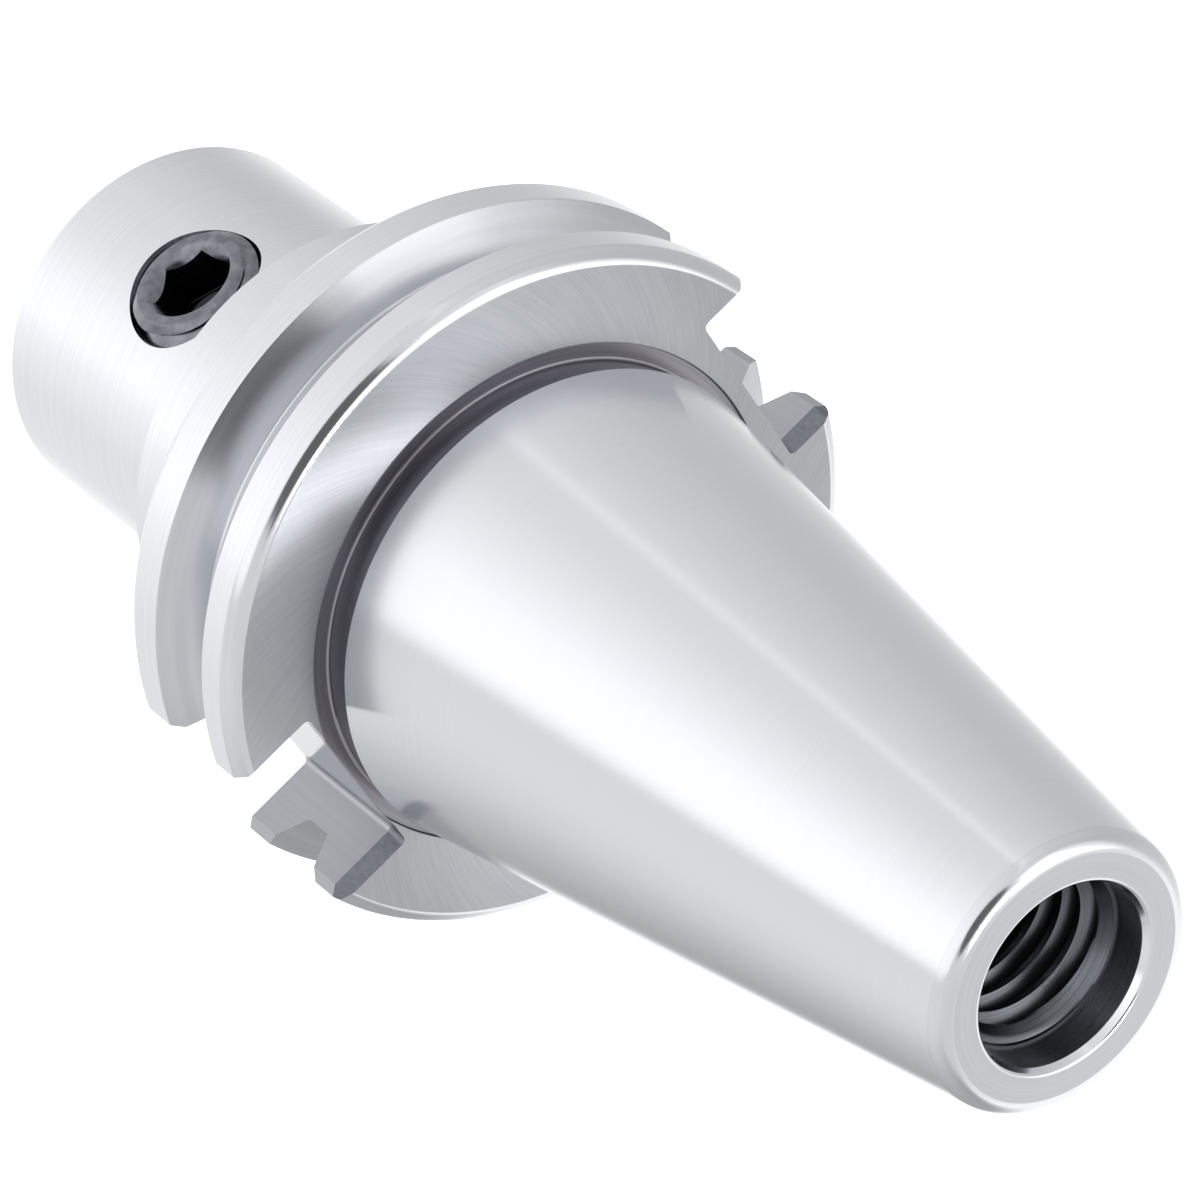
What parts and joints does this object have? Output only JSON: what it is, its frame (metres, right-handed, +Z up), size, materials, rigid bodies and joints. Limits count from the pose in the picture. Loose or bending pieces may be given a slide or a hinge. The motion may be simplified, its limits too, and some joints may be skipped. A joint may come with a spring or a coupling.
{
  "type": "end mill holder",
  "caption": "Steep-taper end mill holder: taper shank, gripper flange with drive slots, collar and nose, and a side set screw that clamps the cutter's shank.",
  "frame": {"origin": "centre of the nose's end face, on the axis", "axes": "+Z up the axis from the nose to the small end of the taper, +X to the deeper drive slot, -Y to the set screw"},
  "size_m": [0.0608, 0.0634, 0.1349],
  "materials": {
    "body_steel": "ground and polished hardened steel",
    "screw_steel": "black oxide on alloy steel"
  },
  "bodies": {
    "holder": {"holder_body": "body_steel"},
    "screw": {"set_screw": "screw_steel"}
  },
  "joints": [
    {"name": "screw_advance", "type": "slide", "parent": "holder", "child": "screw", "axis": [0, -1, 0], "range_m": [-0.002, 0.006]}
  ]
}
